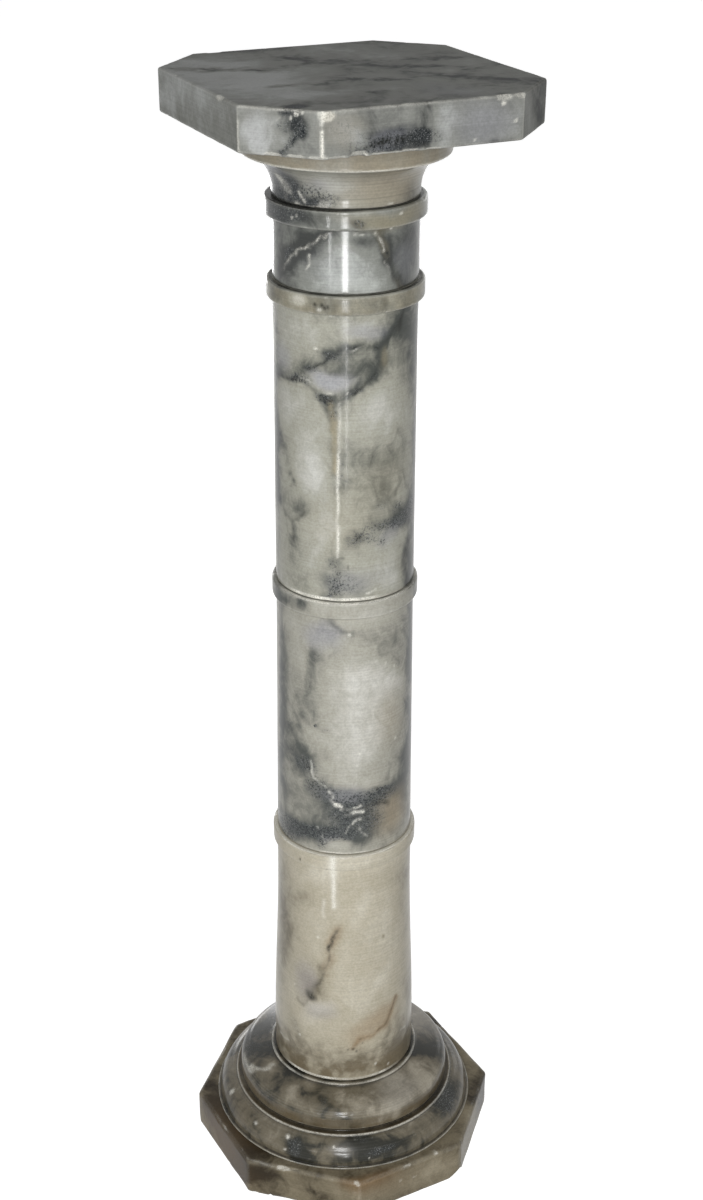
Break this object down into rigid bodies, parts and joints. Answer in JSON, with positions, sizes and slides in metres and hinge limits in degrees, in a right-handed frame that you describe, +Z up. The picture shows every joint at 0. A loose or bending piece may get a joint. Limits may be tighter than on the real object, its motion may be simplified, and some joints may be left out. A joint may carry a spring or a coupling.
{
  "type": "stone pedestal column",
  "caption": "Turned stone pedestal column: clipped-corner square top on a plain round shaft with flat collars, a moulded round base and an octagonal plinth.",
  "frame": {"origin": "middle of the plinth's underside, on the shaft's axis", "axes": "+Z up along the shaft, from the plinth to the top slab; -Y is the broad front face of the top slab, +X its right-hand side"},
  "size_m": [0.266, 0.266, 1],
  "materials": {
    "plinth_stone": "worn satin, brown-grey with rust-coloured stains",
    "base_stone": "polished, dark grey with pale crackle",
    "lower_shaft_stone": "polished, cream with dark veins",
    "middle_shaft_stone": "polished, warm grey with a dark mottled band",
    "upper_shaft_stone": "polished, pale grey with dark veins",
    "necking_stone": "polished, grey with crackled veins",
    "capital_stone": "satin, beige-grey with fine turning lines",
    "slab_stone": "honed top, polished sides, grey with dark clouds"
  },
  "bodies": {
    "root": {"plinth": "plinth_stone", "base": "base_stone", "lower_shaft": "lower_shaft_stone", "middle_shaft": "middle_shaft_stone", "upper_shaft": "upper_shaft_stone", "necking": "necking_stone", "capital": "capital_stone", "top_slab": "slab_stone"}
  },
  "joints": []
}
